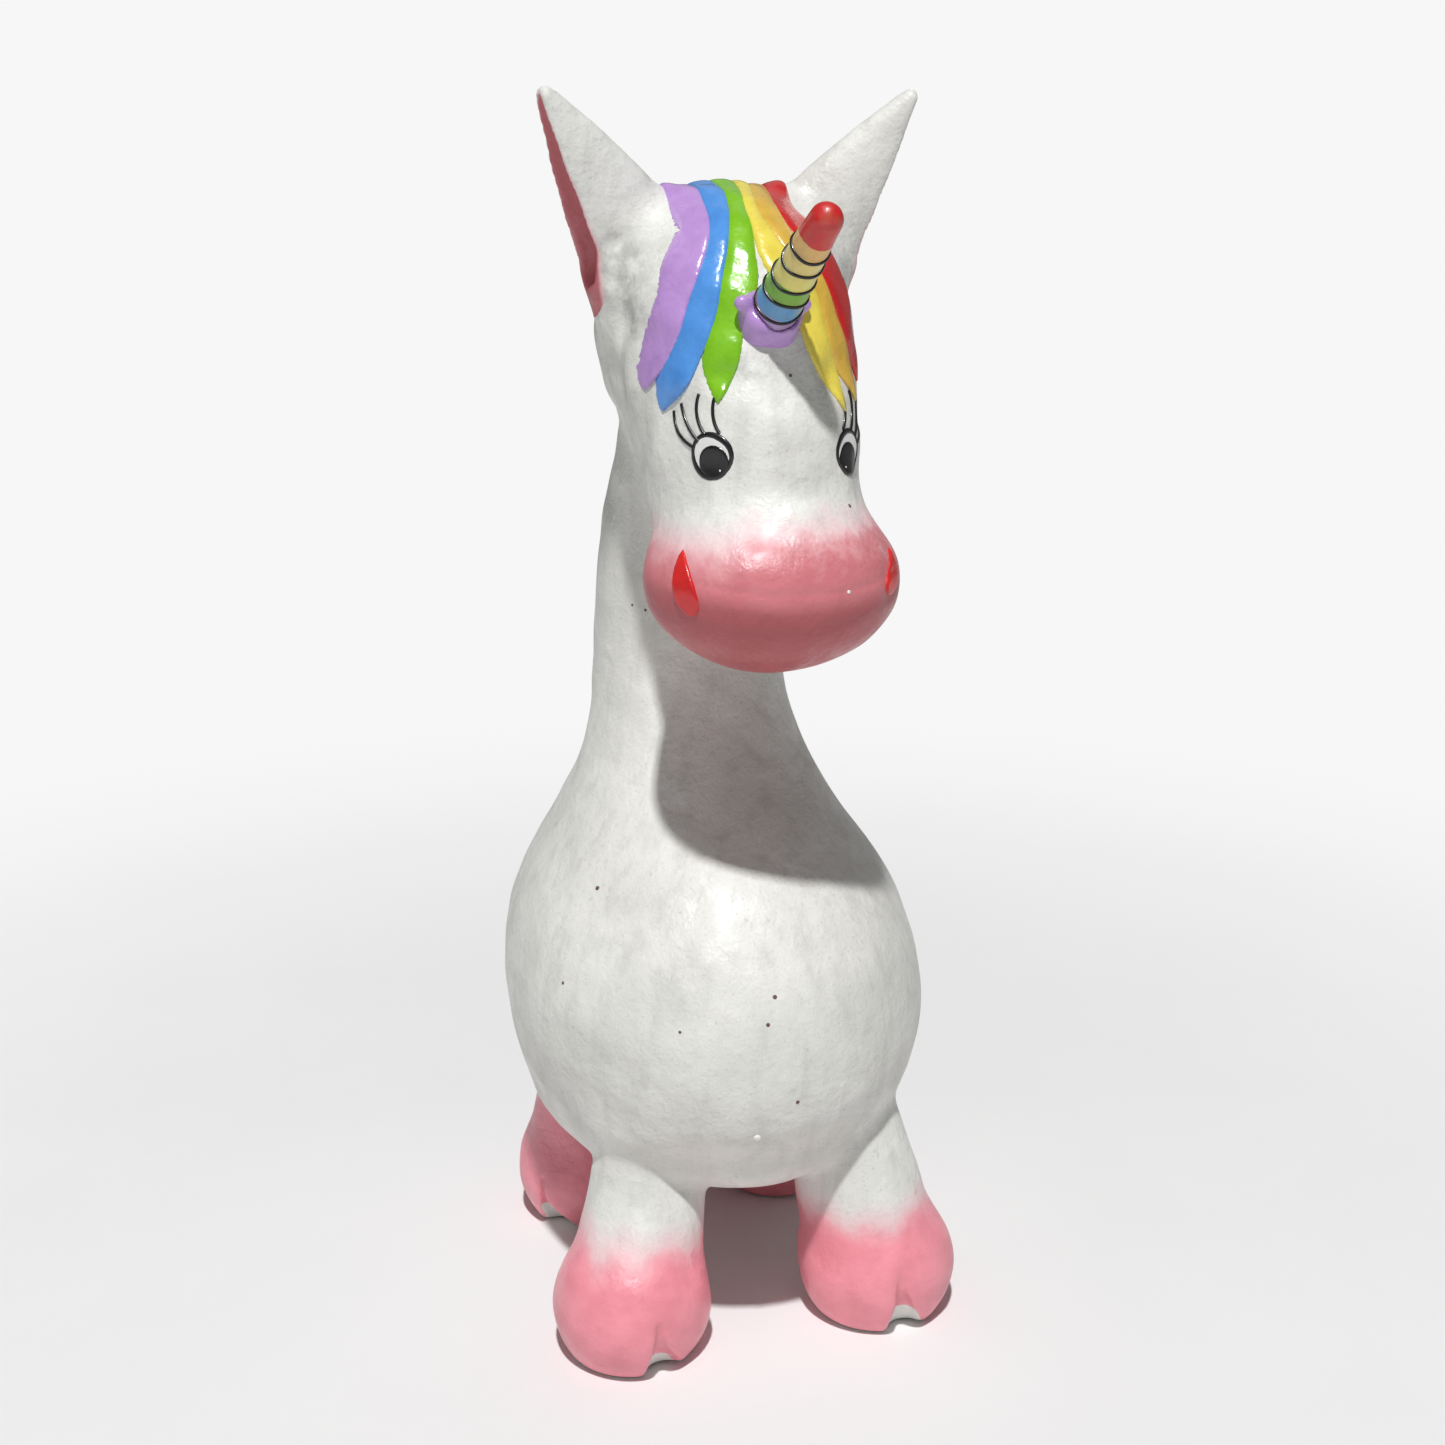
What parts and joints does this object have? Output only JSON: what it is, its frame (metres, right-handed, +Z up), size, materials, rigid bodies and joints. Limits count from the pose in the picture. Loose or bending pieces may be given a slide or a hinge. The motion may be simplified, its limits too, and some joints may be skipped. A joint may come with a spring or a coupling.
{
  "type": "pinata",
  "caption": "Hollow moulded-paper unicorn pinata standing on four short hoofed legs, with a painted face, a banded horn, rainbow locks and a filler plug in its belly.",
  "frame": {"origin": "centre of the figure's plan box, on the plane of the four soles", "axes": "+Z up; the unicorn looks along -Y, so its own left side is +X"},
  "size_m": [0.106, 0.149, 0.301],
  "materials": {
    "white_coat": "satin white brushed paint over moulded paper",
    "pink_coat": "satin pink paint fading to white",
    "bare_paper": "unpainted pasted paper",
    "card": "plain brown card",
    "dowel_wood": "plain round dowel",
    "horn_paint": "gloss paint in bands",
    "lilac_gloss": "gloss paint",
    "blue_gloss": "gloss paint",
    "green_gloss": "gloss paint",
    "yellow_gloss": "gloss paint",
    "gold_gloss": "gloss paint",
    "red_gloss": "gloss paint",
    "tab_ribbon": "woven cotton tape"
  },
  "bodies": {
    "figure": {"body_shell_left": "white_coat", "body_shell_right": "white_coat", "body_seam_strip": "bare_paper", "neck_tube": "card", "neck_ring_lower": "card", "neck_ring_upper": "card", "filler_ring": "card", "head_shell_left": "white_coat", "head_shell_right": "white_coat", "head_seam_strip": "bare_paper", "muzzle_shell": "pink_coat", "ear_left": "white_coat", "ear_right": "white_coat", "horn": "horn_paint", "horn_collar": "lilac_gloss", "horn_dowel": "dowel_wood", "front_right_leg": "white_coat", "front_left_leg": "white_coat", "rear_right_leg": "white_coat", "rear_left_leg": "white_coat", "front_right_leg_peg": "dowel_wood", "front_left_leg_peg": "dowel_wood", "rear_right_leg_peg": "dowel_wood", "rear_left_leg_peg": "dowel_wood", "forelock_lilac": "lilac_gloss", "forelock_blue": "blue_gloss", "forelock_green": "green_gloss", "forelock_yellow": "yellow_gloss", "forelock_gold": "gold_gloss", "forelock_red": "red_gloss", "mane_lilac": "lilac_gloss", "mane_blue": "blue_gloss", "mane_green": "green_gloss", "mane_yellow": "yellow_gloss", "mane_gold": "gold_gloss", "mane_red": "red_gloss", "tail_lilac": "lilac_gloss", "tail_blue": "blue_gloss", "tail_green": "green_gloss", "tail_yellow": "yellow_gloss", "tail_gold": "gold_gloss", "tail_red": "red_gloss"},
    "plug": {"filler_plug": "card", "filler_tab": "tab_ribbon"}
  },
  "joints": [
    {"name": "plug_pull", "type": "slide", "parent": "figure", "child": "plug", "axis": [0, 0, -1], "range_m": [0, 0.02]}
  ]
}
